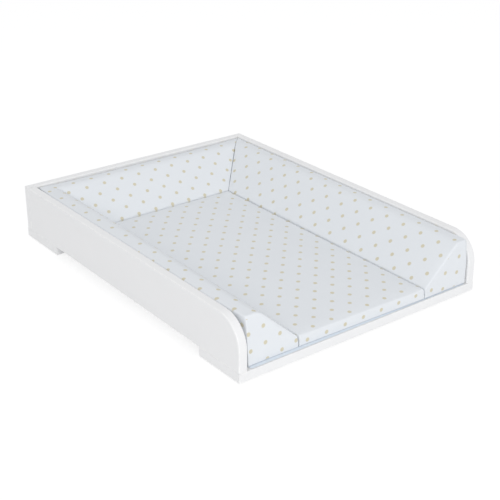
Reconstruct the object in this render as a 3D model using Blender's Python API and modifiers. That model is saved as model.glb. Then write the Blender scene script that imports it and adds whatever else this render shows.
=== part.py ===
"""Cot top changer: a lacquered tray with three walls, and a padded changing mat that lifts out of it.

X runs across the width, the open front faces -Y and Z is up. The origin lies under the middle of the tray, on the
surface that it stands on. All sizes are in metres.
"""
import math

import bmesh
import bpy
from mathutils import Matrix, Vector

# Tray
OVERALL_WIDTH = 0.580
OVERALL_DEPTH = 0.770
BOARD_THICKNESS = 0.018
WALL_HEIGHT = 0.0977
WALL_ARC_RADIUS = 0.058
EDGE_RADIUS = 0.0025
JOINT_GAP = 0.0003

# Feet, and the recesses between them, where fingers reach under the side walls
FRONT_FOOT_DEPTH = 0.118
REAR_FOOT_DEPTH = 0.130
RECESS_DEPTH = 0.030
RECESS_CORNER_RADIUS = 0.012

# Anti-slip pads under the feet
GRIP_WIDTH = 0.090
GRIP_DEPTH = 0.050
GRIP_THICKNESS = 0.002
GRIP_INSET = 0.020
GRIP_CORNER_RADIUS = 0.008

# Panel screws, their caps and the dowels
SCREW_LENGTH = 0.050
SCREW_RADIUS = 0.0035
SCREW_TIP_LENGTH = 0.006
SCREW_TIP_RADIUS = 0.0012
HEAD_RADIUS = 0.005
HEAD_HEIGHT = 0.0035
SOCKET_RADIUS = 0.0022
SOCKET_DEPTH = 0.0025
HEAD_SINK = 0.002
CAP_RECESS = 0.0002
CAP_CHAMFER = 0.0005
DOWEL_RADIUS = 0.004
DOWEL_LENGTH = 0.030
DOWEL_CHAMFER = 0.001
DOWEL_SEAT_SHARE = 0.4
HOLE_CLEARANCE = 0.0003
CUT_OVERRUN = 0.004
TURN_STEPS = 12

# Where the fasteners sit
SCREW_FROM_FRONT = 0.030
SCREW_FROM_RECESS = 0.025
SCREW_FROM_BACK = 0.045
BACK_SCREW_FROM_BASE = 0.040
BACK_SCREW_FROM_TOP = 0.020
BACK_SCREW_SHARES = (-0.36, -0.12, 0.12, 0.36)
BACK_DOWEL_SHARES = (-0.24, 0.24)

# Changing mat: a centre pad and three wedge bolsters, welded to one backing sheet
MAT_SIDE_ROOM = 0.006
MAT_OFF_CENTRE = 0.003
MAT_FRONT_SETBACK = 0.0095
MAT_REAR_ROOM = 0.005
BOLSTER_WIDTH = 0.111
BOLSTER_HEIGHT = 0.0945
CREST_WIDTH = 0.029
CREST_BLEND = 0.008
SEAM_HEIGHT = 0.021
SEAM_GAP = 0.002
MITRE_GAP = 0.001
MITRE_LEAN = 0.0008
FRONT_LEAN = 0.006
SOFT_EDGE = 0.004
SHOULDER_RADIUS = 0.012
SHOULDER_LEAN = 0.002
PAD_CROWN = 0.004
BOLSTER_CROWN = 0.002
SIDE_DRAW = 0.0006
COVER_WALL = 0.001
BACKING_THICKNESS = 0.001
BACKING_CORNER_RADIUS = 0.006
BACKING_FLANGE = 0.007
CORE_ROOM = 0.0012
CORE_EDGE = 0.003

# Meshes
WELD_DISTANCE = 0.00001
SMOOTH_ANGLE = math.radians(40)

# Levels and places that follow from the sizes
BASE_BOTTOM = GRIP_THICKNESS + JOINT_GAP
BASE_TOP = BASE_BOTTOM + BOARD_THICKNESS
WALL_BOTTOM = BASE_TOP + JOINT_GAP
WALL_TOP = WALL_BOTTOM + WALL_HEIGHT
LEFT, RIGHT = -OVERALL_WIDTH / 2, OVERALL_WIDTH / 2
FRONT, BACK = -OVERALL_DEPTH / 2, OVERALL_DEPTH / 2
BACK_WALL_FRONT = BACK - BOARD_THICKNESS
SIDE_WALL_BACK = BACK_WALL_FRONT - JOINT_GAP
INNER_WIDTH = OVERALL_WIDTH - 2 * BOARD_THICKNESS
RECESS_FRONT = FRONT + FRONT_FOOT_DEPTH
RECESS_BACK = BACK - REAR_FOOT_DEPTH
SIDE_WALL_MIDDLE = RIGHT - BOARD_THICKNESS / 2
BACK_WALL_MIDDLE = BACK - BOARD_THICKNESS / 2
MAT_WIDTH = INNER_WIDTH - 2 * MAT_SIDE_ROOM
MAT_DEPTH = BACK_WALL_FRONT - MAT_REAR_ROOM - (FRONT + MAT_FRONT_SETBACK)
MAT_BOTTOM = BASE_TOP + JOINT_GAP
CUSHION_BOTTOM = MAT_BOTTOM + BACKING_THICKNESS + JOINT_GAP
PAD_WIDTH = MAT_WIDTH - 2 * (BOLSTER_WIDTH + SEAM_GAP)
PAD_DEPTH = MAT_DEPTH - BOLSTER_WIDTH - SEAM_GAP
CORE_INSET = COVER_WALL + CORE_ROOM + SIDE_DRAW

# Stations across a soft edge, from the outermost line (1) towards the flat (0), evenly turned
EDGE_SHARES = (1.0, 0.866, 0.5)

COLOURS = {
    "lacquer": (0.90, 0.90, 0.91, 1.0),
    "screw": (0.62, 0.62, 0.60, 1.0),
    "cap": (0.88, 0.88, 0.88, 1.0),
    "dowel": (0.72, 0.55, 0.36, 1.0),
    "grip": (0.16, 0.16, 0.17, 1.0),
    "cover": (0.84, 0.88, 0.92, 1.0),
    "backing": (0.86, 0.88, 0.90, 1.0),
    "foam": (0.93, 0.90, 0.78, 1.0),
}
ROUGHNESS = {
    "lacquer": 0.35,
    "screw": 0.35,
    "cap": 0.40,
    "dowel": 0.75,
    "grip": 0.90,
    "cover": 0.45,
    "backing": 0.50,
    "foam": 0.95,
}


def clear_scene():
    """Removes what the file opened with."""
    for obj in list(bpy.data.objects):
        bpy.data.objects.remove(obj, do_unlink=True)


def new_collection(name, parent=None):
    collection = bpy.data.collections.new(name)
    (parent or bpy.context.scene.collection).children.link(collection)
    return collection


def finish(obj, look):
    """Gives an object its material; copies that share a mesh share it."""
    if obj.data.materials:
        return
    material = bpy.data.materials.new(f"{obj.data.name}_{look}")
    material.use_nodes = True
    shader = material.node_tree.nodes["Principled BSDF"]
    shader.inputs["Base Color"].default_value = COLOURS[look]
    shader.inputs["Roughness"].default_value = ROUGHNESS[look]
    shader.inputs["Metallic"].default_value = 1.0 if look == "screw" else 0.0
    obj.data.materials.append(material)


def shade(mesh):
    mesh.shade_smooth()
    mesh.set_sharp_from_angle(angle=SMOOTH_ANGLE)


def mesh_from(bm, name):
    mesh = bpy.data.meshes.new(name)
    bm.to_mesh(mesh)
    bm.free()
    shade(mesh)
    return mesh


def place_object(name, mesh, collection, location, rotation=(0, 0, 0)):
    obj = bpy.data.objects.new(name, mesh)
    obj.location = location
    obj.rotation_euler = rotation
    collection.objects.link(obj)
    return obj


def evaluated_mesh(obj, name):
    """The mesh that an object's curve or modifiers make; the object itself is removed."""
    mesh = bpy.data.meshes.new_from_object(obj.evaluated_get(bpy.context.evaluated_depsgraph_get()))
    bpy.data.objects.remove(obj, do_unlink=True)
    mesh.name = name
    return mesh


def choose_edges(mesh, jointed, splits=()):
    """Marks a board's sharp edges for rounding, apart from those that lie against a neighbour, which stay crisp.

    An edge is judged by its middle, so it is first split at the places along X where a neighbour begins.
    """
    bm = bmesh.new()
    bm.from_mesh(mesh)
    for place in splits:
        for edge in bm.edges[:]:
            start, end = [spot.co.x for spot in edge.verts]
            if (start - place) * (end - place) < 0 and min(abs(start - place), abs(end - place)) > WELD_DISTANCE:
                bmesh.utils.edge_split(edge, edge.verts[0], (place - start) / (end - start))
        for face in bm.faces[:]:
            pair = [spot for spot in face.verts if abs(spot.co.x - place) < WELD_DISTANCE]
            upright = abs(face.normal.z) < 0.5
            if upright and len(pair) == 2 and bm.edges.get(pair) is None:
                bmesh.utils.face_split(face, *pair)
    rounded = bm.edges.layers.float.new("bevel_weight_edge")
    for edge in bm.edges:
        middle = (edge.verts[0].co + edge.verts[1].co) / 2
        if edge.calc_face_angle() > SMOOTH_ANGLE and not jointed(middle):
            edge[rounded] = 1
    bm.to_mesh(mesh)
    bm.free()


def round_edges(obj, radius, segments=2):
    bevel = obj.modifiers.new("rounded_edges", "BEVEL")
    bevel.width = radius
    bevel.segments = segments
    bevel.limit_method = "WEIGHT"


def cut_with(obj, cutters):
    """Cuts every hole in a collection of cutters."""
    boolean = obj.modifiers.new(cutters.name, "BOOLEAN")
    boolean.operation = "DIFFERENCE"
    boolean.solver = "EXACT"
    boolean.operand_type = "COLLECTION"
    boolean.collection = cutters


# Boards

def outline_points(corners, steps=6):
    """Points round a closed outline whose corners (x, y, radius) are rounded; radius 0 keeps a corner sharp."""
    points = []
    count = len(corners)
    for index, (x, y, radius) in enumerate(corners):
        here = Vector((x, y))
        if radius == 0:
            points.append(here)
            continue
        before = Vector(corners[index - 1][:2]) - here
        after = Vector(corners[(index + 1) % count][:2]) - here
        before.normalize()
        after.normalize()
        half_angle = before.angle(after) / 2
        reach = radius / math.tan(half_angle)
        centre = here + (before + after).normalized() * (radius / math.sin(half_angle))
        start = here + before * reach - centre
        turn = math.pi - 2 * half_angle
        side = 1 if before.cross(after) < 0 else -1
        for step in range(steps + 1):
            points.append(centre + Matrix.Rotation(side * turn * step / steps, 2) @ start)
    return points


def board_mesh(name, corners, thickness, arc_steps=6):
    """A board cut to an outline, lying on its own z = 0."""
    curve = bpy.data.curves.new(name, "CURVE")
    curve.dimensions = "2D"
    curve.fill_mode = "BOTH"
    curve.extrude = thickness / 2
    points = outline_points(corners, arc_steps)
    spline = curve.splines.new("POLY")
    spline.points.add(len(points) - 1)
    for spot, (x, y) in zip(spline.points, points):
        spot.co = (x, y, 0, 1)
    spline.use_cyclic_u = True
    shape = place_object(name, curve, bpy.context.scene.collection, (0, 0, 0))
    mesh = evaluated_mesh(shape, name)
    bm = bmesh.new()
    bm.from_mesh(mesh)
    bpy.data.meshes.remove(mesh)
    bmesh.ops.remove_doubles(bm, verts=bm.verts, dist=WELD_DISTANCE)
    bmesh.ops.dissolve_limit(bm, angle_limit=math.radians(0.1), verts=bm.verts, edges=bm.edges)
    bmesh.ops.translate(bm, verts=bm.verts, vec=(0, 0, thickness / 2))
    bmesh.ops.recalc_face_normals(bm, faces=bm.faces)
    return mesh_from(bm, name)


def build_base(parts):
    """The base board, recessed along both sides between its feet."""
    right_half = [
        (RIGHT, FRONT, 0),
        (RIGHT, RECESS_FRONT, 0),
        (RIGHT - RECESS_DEPTH, RECESS_FRONT, RECESS_CORNER_RADIUS),
        (RIGHT - RECESS_DEPTH, RECESS_BACK, RECESS_CORNER_RADIUS),
        (RIGHT, RECESS_BACK, 0),
        (RIGHT, BACK, 0),
    ]
    left_half = [(-x, y, radius) for x, y, radius in reversed(right_half)]
    mesh = board_mesh("base_board", right_half + left_half, BOARD_THICKNESS)

    def under_wall(middle):
        below_side_wall = abs(middle.x) > INNER_WIDTH / 2 + WELD_DISTANCE
        return middle.z > BOARD_THICKNESS - WELD_DISTANCE and (below_side_wall or middle.y > BACK_WALL_FRONT)

    choose_edges(mesh, under_wall, splits=(-INNER_WIDTH / 2, INNER_WIDTH / 2))
    base = place_object("base_board", mesh, parts, (0, 0, BASE_BOTTOM))
    finish(base, "lacquer")
    round_edges(base, EDGE_RADIUS)
    return base


def build_side_walls(parts):
    """The side walls, each with its upper front corner cut to an arc."""
    corners = [
        (FRONT, 0, 0),
        (SIDE_WALL_BACK, 0, 0),
        (SIDE_WALL_BACK, WALL_HEIGHT, 0),
        (FRONT, WALL_HEIGHT, WALL_ARC_RADIUS),
    ]
    upright = (math.radians(90), 0, math.radians(90))
    mesh = board_mesh("side_wall", corners, BOARD_THICKNESS, arc_steps=14)
    choose_edges(mesh, lambda middle: middle.y < WELD_DISTANCE or middle.x > SIDE_WALL_BACK - WELD_DISTANCE)
    walls = {}
    for hand, left_face in (("left", LEFT), ("right", RIGHT - BOARD_THICKNESS)):
        wall = place_object(f"{hand}_wall", mesh, parts, (left_face, 0, WALL_BOTTOM), upright)
        finish(wall, "lacquer")
        round_edges(wall, EDGE_RADIUS)
        walls[hand] = wall
    return walls


def build_back_wall(parts):
    """The back wall, which covers the side walls' rear ends."""
    bm = bmesh.new()
    bmesh.ops.create_cube(bm, size=1)
    bmesh.ops.scale(bm, vec=(OVERALL_WIDTH, BOARD_THICKNESS, WALL_HEIGHT), verts=bm.verts)
    mesh = mesh_from(bm, "back_wall")

    def at_joint(middle):
        on_front = middle.y < WELD_DISTANCE - BOARD_THICKNESS / 2
        before_side_wall = abs(middle.x) > INNER_WIDTH / 2 + WELD_DISTANCE
        return middle.z < WELD_DISTANCE - WALL_HEIGHT / 2 or (on_front and before_side_wall)

    choose_edges(mesh, at_joint, splits=(-INNER_WIDTH / 2, INNER_WIDTH / 2))
    wall = place_object("back_wall", mesh, parts, (0, BACK_WALL_MIDDLE, WALL_BOTTOM + WALL_HEIGHT / 2))
    finish(wall, "lacquer")
    round_edges(wall, EDGE_RADIUS)
    return wall


def build_grips(parts):
    """An anti-slip pad under each foot."""
    reach_x, reach_y = GRIP_WIDTH / 2, GRIP_DEPTH / 2
    radius = GRIP_CORNER_RADIUS
    corners = [(-reach_x, -reach_y, radius), (reach_x, -reach_y, radius), (reach_x, reach_y, radius),
               (-reach_x, reach_y, radius)]
    mesh = board_mesh("grip_pad", corners, GRIP_THICKNESS, arc_steps=4)
    along_x = RIGHT - GRIP_INSET - reach_x
    rows = {"front": FRONT + GRIP_INSET + reach_y, "rear": BACK - GRIP_INSET - reach_y}
    for row, y in rows.items():
        for hand, sign in (("left", -1), ("right", 1)):
            finish(place_object(f"grip_pad_{row}_{hand}", mesh, parts, (sign * along_x, y, 0)), "grip")


# Fasteners

def turned_mesh(name, profile):
    """A solid turned about Z from a profile of (radius, height) that runs from its top to its bottom."""
    outline = bpy.data.meshes.new(name)
    points = [(radius, 0, height) for radius, height in profile]
    outline.from_pydata(points, [(index, index + 1) for index in range(len(points) - 1)], [])
    shape = place_object(name, outline, bpy.context.scene.collection, (0, 0, 0))
    turn = shape.modifiers.new("turn", "SCREW")
    turn.steps = turn.render_steps = TURN_STEPS
    turn.use_merge_vertices = True
    turn.merge_threshold = WELD_DISTANCE
    mesh = evaluated_mesh(shape, name)
    shade(mesh)
    return mesh


def screw_profile():
    """A panel screw, point up, with its head's face at z = 0."""
    return [
        (0, SCREW_LENGTH),
        (SCREW_TIP_RADIUS, SCREW_LENGTH),
        (SCREW_RADIUS, SCREW_LENGTH - SCREW_TIP_LENGTH),
        (SCREW_RADIUS, HEAD_HEIGHT),
        (HEAD_RADIUS, HEAD_HEIGHT),
        (HEAD_RADIUS, 0),
        (SOCKET_RADIUS, 0),
        (SOCKET_RADIUS, SOCKET_DEPTH),
        (0, SOCKET_DEPTH),
    ]


def screw_hole_profile():
    """The stepped hole of a panel screw, running out past the board's face."""
    head, shank = HEAD_RADIUS + HOLE_CLEARANCE, SCREW_RADIUS + HOLE_CLEARANCE
    end, seat, mouth = SCREW_LENGTH + HOLE_CLEARANCE, HEAD_HEIGHT + HOLE_CLEARANCE, -HEAD_SINK - CUT_OVERRUN
    return [(0, end), (shank, end), (shank, seat), (head, seat), (head, mouth), (0, mouth)]


def dowel_profile(clearance=0):
    """A dowel standing on z = 0; a clearance widens and lengthens it into its hole."""
    radius, foot, end = DOWEL_RADIUS + clearance, -clearance, DOWEL_LENGTH + clearance
    return [
        (0, end),
        (radius - DOWEL_CHAMFER, end),
        (radius, end - DOWEL_CHAMFER),
        (radius, foot + DOWEL_CHAMFER),
        (radius - DOWEL_CHAMFER, foot),
        (0, foot),
    ]


def cap_profile():
    """A press-in cap that fills the space over a sunk head, with its chamfered outer face down at z = 0."""
    thickness = HEAD_SINK - JOINT_GAP - CAP_RECESS
    return [
        (0, thickness),
        (HEAD_RADIUS, thickness),
        (HEAD_RADIUS, CAP_CHAMFER),
        (HEAD_RADIUS - CAP_CHAMFER, 0),
        (0, 0),
    ]


class Fastener:
    """A repeated fastener and the cutter of its hole."""

    def __init__(self, name, look, profile, hole_profile=None):
        self.look = look
        self.mesh = turned_mesh(name, profile)
        self.hole_mesh = turned_mesh(f"{name}_hole", hole_profile) if hole_profile else None

    def place(self, name, spots, rotation, parts, holes):
        """Puts a copy at each spot, and a cutter among the holes."""
        for number, spot in enumerate(spots, start=1):
            finish(place_object(f"{name}_{number}", self.mesh, parts, spot, rotation), self.look)
            if self.hole_mesh:
                cutter = place_object(f"{name}_{number}_hole", self.hole_mesh, holes, spot, rotation)
                cutter.hide_render = True
                cutter.display_type = "WIRE"


def build_fasteners(base, walls, back, parts, cutters):
    screw = Fastener("panel_screw", "screw", screw_profile(), screw_hole_profile())
    dowel = Fastener("dowel", "dowel", dowel_profile(), dowel_profile(HOLE_CLEARANCE))
    cap = Fastener("screw_cap", "cap", cap_profile())
    screw_z = BASE_BOTTOM + HEAD_SINK
    dowel_z = BASE_TOP - DOWEL_LENGTH * DOWEL_SEAT_SHARE
    up = (0, 0, 0)

    # Two screws and a dowel rise from each foot into the side wall above it.
    front_pair = (FRONT + SCREW_FROM_FRONT, RECESS_FRONT - SCREW_FROM_RECESS)
    rear_pair = (RECESS_BACK + SCREW_FROM_RECESS, SIDE_WALL_BACK - SCREW_FROM_BACK)
    for hand, sign in (("left", -1), ("right", 1)):
        holes = new_collection(f"{hand}_wall_holes", cutters)
        x = sign * SIDE_WALL_MIDDLE
        screws = [(x, y, screw_z) for y in front_pair + rear_pair]
        dowels = [(x, sum(pair) / 2, dowel_z) for pair in (front_pair, rear_pair)]
        screw.place(f"{hand}_wall_screw", screws, up, parts, holes)
        dowel.place(f"{hand}_wall_dowel", dowels, up, parts, holes)
        cut_with(base, holes)
        cut_with(walls[hand], holes)

    # The back wall is held from below along its length.
    holes = new_collection("back_wall_holes", cutters)
    screws = [(share * OVERALL_WIDTH, BACK_WALL_MIDDLE, screw_z) for share in BACK_SCREW_SHARES]
    dowels = [(share * OVERALL_WIDTH, BACK_WALL_MIDDLE, dowel_z) for share in BACK_DOWEL_SHARES]
    screw.place("back_wall_screw", screws, up, parts, holes)
    dowel.place("back_wall_dowel", dowels, up, parts, holes)
    cut_with(base, holes)
    cut_with(back, holes)

    # Screws under caps, and dowels, run forwards through the back wall into the side walls' ends.
    holes = new_collection("corner_holes", cutters)
    forwards = (math.radians(90), 0, 0)
    low, high = WALL_BOTTOM + BACK_SCREW_FROM_BASE, WALL_TOP - BACK_SCREW_FROM_TOP
    columns = (-SIDE_WALL_MIDDLE, SIDE_WALL_MIDDLE)
    spots = [(x, z) for x in columns for z in (low, high)]
    dowel_y = BACK_WALL_FRONT + DOWEL_LENGTH * DOWEL_SEAT_SHARE
    screw.place("corner_screw", [(x, BACK - HEAD_SINK, z) for x, z in spots], forwards, parts, holes)
    cap.place("corner_screw_cap", [(x, BACK - CAP_RECESS, z) for x, z in spots], forwards, parts, holes)
    dowel.place("corner_dowel", [(x, dowel_y, (low + high) / 2) for x in columns], forwards, parts, holes)
    cut_with(back, holes)
    for wall in walls.values():
        cut_with(wall, holes)


# Changing mat

def even_steps(start, end, count):
    return [start + (end - start) * step / count for step in range(count + 1)]


def edge_stations(length, low_edge, high_edge, middle):
    """Places along a cushion, with how far round its soft edges each lies: -1 and 1 at its ends, 0 inside."""
    low = [(low_edge * (1 - share), -share) for share in EDGE_SHARES]
    high = [(length - high_edge * (1 - share), share) for share in reversed(EDGE_SHARES)]
    return low + [(place, 0) for place in middle] + high


def wedge_top(width, height, seam_height, crest, blend):
    """The height of a wedge's top over its width: a slope up from the seam that rounds over into a flat crest."""
    slope_end = width - crest
    rise = (height - seam_height) / slope_end

    def top(across):
        before_bend = slope_end + blend - across
        if before_bend >= 2 * blend:
            return seam_height + rise * across
        return height - rise * max(before_bend, 0) ** 2 / (4 * blend)

    return top


class Cushion:
    """A padded section with soft upper edges, seen in plan as a strip that may be mitred at its ends.

    Its points are named by how far they lie across the strip, from the seam side, and along it. Its edges are the
    radii of its seam side, its outer side and its ends; the outer side leans out. Each end is given as (mitre,
    lean): how much further out the end lies per step across, and how far back it leans at full height.
    """

    def __init__(self, width, length, top, edges, crown=0, draw=0, lean=0, ends=((0, 0), (0, 0))):
        self.width, self.length, self.top = width, length, top
        self.seam_edge, self.outer_edge, self.end_edge = edges
        self.crown, self.draw, self.lean, self.ends = crown, draw, lean, ends

    def off_middle(self, across, along):
        return 2 * across / self.width - 1, 2 * along / self.length - 1

    def plan(self, across, along, height):
        """Plan place of a point: the sides drawn in at their middles, the ends mitred and leaning back."""
        off_across, off_along = self.off_middle(across, along)
        share_up = height / self.top(self.width)
        drawn_across = across - self.draw * off_across * (1 - off_along ** 2)
        drawn_across += self.lean * share_up * across / self.width
        drawn_along = along - self.draw * off_along * (1 - off_across ** 2)
        (start_mitre, start_lean), (end_mitre, end_lean) = self.ends
        start = start_lean * share_up - start_mitre * drawn_across
        end = self.length - end_lean * share_up + end_mitre * drawn_across
        return drawn_across, start + (end - start) * drawn_along / self.length

    def skin(self, across_station, along_station):
        """A point of the upper skin, where the soft edges meet in a ball at each corner."""
        (across, a), (along, b) = across_station, along_station
        round_a = a * math.sqrt(1 - b * b / 2)
        round_b = b * math.sqrt(1 - a * a / 2)
        side_edge = self.seam_edge if a < 0 else self.outer_edge
        across += side_edge * (round_a - a)
        along += self.end_edge * (round_b - b)
        reach = min(1, math.hypot(round_a, round_b))
        edge = (side_edge * a * a + self.end_edge * b * b) / max(a * a + b * b, 1)
        off_across, off_along = self.off_middle(across, along)
        height = self.top(across) - edge * (1 - math.sqrt(1 - reach * reach))
        return across, along, height + self.crown * (1 - off_across ** 2) * (1 - off_along ** 2)

    def surface(self, columns, rows, skirt_rows):
        """The open skin, its top over a grid and its sides hanging down to z = 0, and its lowest loop.

        The sides' corners are round at the top and square where they are welded down.
        """
        bm = bmesh.new()

        def vertex(across, along, height):
            return bm.verts.new((*self.plan(across, along, height), height))

        points = [[self.skin(column, row) for row in rows] for column in columns]
        grid = [[vertex(*point) for point in line] for line in points]
        for line, following in zip(grid, grid[1:]):
            for corners in zip(line, following, following[1:], line[1:]):
                bm.faces.new(corners)
        last_i, last_j = len(columns) - 1, len(rows) - 1
        rim = [(i, 0) for i in range(last_i)] + [(last_i, j) for j in range(last_j)]
        rim += [(i, last_j) for i in range(last_i, 0, -1)] + [(0, j) for j in range(last_j, 0, -1)]
        loop = [grid[i][j] for i, j in rim]
        for share in even_steps(1, 0, skirt_rows)[1:]:
            below = []
            for i, j in rim:
                across, along, height = points[i][j]
                across += (columns[i][0] - across) * (1 - share)
                along += (rows[j][0] - along) * (1 - share)
                below.append(vertex(across, along, height * share))
            for index in range(len(loop)):
                bm.faces.new((loop[index - 1], below[index - 1], below[index], loop[index]))
            loop = below
        return bm, loop


def place_in_mat(name, mesh, look, location, turn, mat_frame, parts):
    piece = place_object(name, mesh, parts, location, (0, 0, turn))
    piece.parent = mat_frame
    finish(piece, look)
    return piece


def build_cover(name, cushion, columns, rows, location, turn, mat_frame, parts):
    """A welded film cover, open below, where the backing sheet closes it."""
    bm, _ = cushion.surface(columns, rows, skirt_rows=3)
    cover = place_in_mat(name, mesh_from(bm, name), "cover", location, turn, mat_frame, parts)
    film = cover.modifiers.new("film", "SOLIDIFY")
    film.thickness = COVER_WALL
    film.offset = -1
    film.use_even_offset = True


def build_core(name, cushion, columns, rows, location, turn, mat_frame, parts):
    """The foam block inside a cover."""
    bm, rim = cushion.surface(columns, rows, skirt_rows=1)
    bm.faces.new(reversed(rim))
    place_in_mat(name, mesh_from(bm, name), "foam", location, turn, mat_frame, parts)


def bolster_columns(width, seam_edge, shoulder, crest, slope_steps):
    """Stations across a bolster, closer together where its slope rounds over into its crest."""
    turn = width - crest
    slope = even_steps(seam_edge, turn - CREST_BLEND, slope_steps)
    bend = [turn - CREST_BLEND / 3, turn + CREST_BLEND / 3, turn + CREST_BLEND]
    return edge_stations(width, seam_edge, shoulder, slope + bend + [width - shoulder])


def build_bolster(name, length, ends, location, turn, row_steps, mat_frame, parts):
    """A wedge bolster: its cover, and the foam core set in from it on every side."""
    top = wedge_top(BOLSTER_WIDTH, BOLSTER_HEIGHT, SEAM_HEIGHT, CREST_WIDTH, CREST_BLEND)
    edges = (SOFT_EDGE, SHOULDER_RADIUS, SOFT_EDGE)
    cover = Cushion(BOLSTER_WIDTH, length, top, edges, BOLSTER_CROWN, SIDE_DRAW, SHOULDER_LEAN, ends)
    columns = bolster_columns(BOLSTER_WIDTH, SOFT_EDGE, SHOULDER_RADIUS, CREST_WIDTH, slope_steps=4)
    rows = edge_stations(length, SOFT_EDGE, SOFT_EDGE, even_steps(SOFT_EDGE, length - SOFT_EDGE, row_steps))
    build_cover(f"{name}_cover", cover, columns, rows, location, turn, mat_frame, parts)

    slope = math.atan2(BOLSTER_HEIGHT - SEAM_HEIGHT, BOLSTER_WIDTH - CREST_WIDTH)
    width, crest, shoulder = BOLSTER_WIDTH - 2 * CORE_INSET, CREST_WIDTH - CORE_INSET, SHOULDER_RADIUS - CORE_INSET
    height = BOLSTER_HEIGHT - CORE_INSET
    seam_height = SEAM_HEIGHT + CORE_INSET * math.tan(slope) - CORE_INSET / math.cos(slope)
    start_inset, end_inset = [CORE_INSET * (math.hypot(1, mitre) - mitre) for mitre, _ in ends]
    core_length = length - start_inset - end_inset
    top = wedge_top(width, height, seam_height, crest, CREST_BLEND)
    core = Cushion(width, core_length, top, (CORE_EDGE, shoulder, CORE_EDGE), lean=SHOULDER_LEAN, ends=ends)
    columns = bolster_columns(width, CORE_EDGE, shoulder, crest, slope_steps=1)
    rows = edge_stations(core_length, CORE_EDGE, CORE_EDGE, [CORE_EDGE, core_length - CORE_EDGE])
    inwards = Matrix.Rotation(turn, 3, "Z") @ Vector((CORE_INSET, start_inset, 0))
    build_core(f"{name}_core", core, columns, rows, Vector(location) + inwards, turn, mat_frame, parts)


def build_pad(mat_frame, parts):
    """The flat centre pad and its foam core."""
    cover = Cushion(PAD_WIDTH, PAD_DEPTH, lambda across: SEAM_HEIGHT, [SOFT_EDGE] * 3, PAD_CROWN, SIDE_DRAW)
    columns = edge_stations(PAD_WIDTH, SOFT_EDGE, SOFT_EDGE, even_steps(SOFT_EDGE, PAD_WIDTH - SOFT_EDGE, 8))
    rows = edge_stations(PAD_DEPTH, SOFT_EDGE, SOFT_EDGE, even_steps(SOFT_EDGE, PAD_DEPTH - SOFT_EDGE, 12))
    corner = Vector((-PAD_WIDTH / 2, 0, 0))
    build_cover("pad_cover", cover, columns, rows, corner, 0, mat_frame, parts)

    width, length = PAD_WIDTH - 2 * CORE_INSET, PAD_DEPTH - 2 * CORE_INSET
    core = Cushion(width, length, lambda across: SEAM_HEIGHT - CORE_INSET, [CORE_EDGE] * 3)
    columns = edge_stations(width, CORE_EDGE, CORE_EDGE, [CORE_EDGE, width - CORE_EDGE])
    rows = edge_stations(length, CORE_EDGE, CORE_EDGE, [CORE_EDGE, length - CORE_EDGE])
    inwards = Vector((CORE_INSET, CORE_INSET, 0))
    build_core("pad_core", core, columns, rows, corner + inwards, 0, mat_frame, parts)


def build_backing(mat_frame, parts):
    """The backing sheet under the whole mat, which reaches past the cushions at the front as a welded flange."""
    half, radius, front = MAT_WIDTH / 2, BACKING_CORNER_RADIUS, -BACKING_FLANGE
    corners = [(-half, front, radius), (half, front, radius), (half, MAT_DEPTH, radius), (-half, MAT_DEPTH, radius)]
    mesh = board_mesh("mat_backing", corners, BACKING_THICKNESS, arc_steps=4)
    place_in_mat("mat_backing", mesh, "backing", (0, 0, MAT_BOTTOM - CUSHION_BOTTOM), 0, mat_frame, parts)


def build_mat(parts):
    """The changing mat, in a frame of its own: x from its middle, y back from its front, z up from its cushions."""
    mat_frame = place_object("mat_frame", None, parts, (MAT_OFF_CENTRE, FRONT + MAT_FRONT_SETBACK, CUSHION_BOTTOM))
    build_backing(mat_frame, parts)
    build_pad(mat_frame, parts)

    seam_x, seam_y = PAD_WIDTH / 2 + SEAM_GAP, PAD_DEPTH + SEAM_GAP
    mitre_cut = MITRE_GAP / math.sqrt(2)
    side_length, rear_length = seam_y - mitre_cut, 2 * (seam_x - mitre_cut)
    front_end, mitred_end = (0, FRONT_LEAN), (1, MITRE_LEAN)
    build_bolster("right_bolster", side_length, (front_end, mitred_end), (seam_x, 0, 0), 0, 8, mat_frame, parts)
    build_bolster("left_bolster", side_length, (mitred_end, front_end), (-seam_x, side_length, 0), math.pi, 8,
                  mat_frame, parts)
    build_bolster("rear_bolster", rear_length, (mitred_end, mitred_end), (rear_length / 2, seam_y, 0), math.pi / 2,
                  6, mat_frame, parts)


def main():
    clear_scene()
    parts = new_collection("cot_top_changer")
    cutters = new_collection("cutters")
    base = build_base(parts)
    walls = build_side_walls(parts)
    back = build_back_wall(parts)
    build_fasteners(base, walls, back, parts, cutters)
    build_grips(parts)
    build_mat(parts)


main()
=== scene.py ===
"""Looks of the cot top changer: a white lacquered tray, and a padded mat in polka-dot film that lifts out.

X runs across the width, the open front faces -Y and Z is up. All sizes are in metres.
"""
import math
from typing import NamedTuple

import bmesh
import bpy
from mathutils import Matrix, Vector, noise


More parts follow.
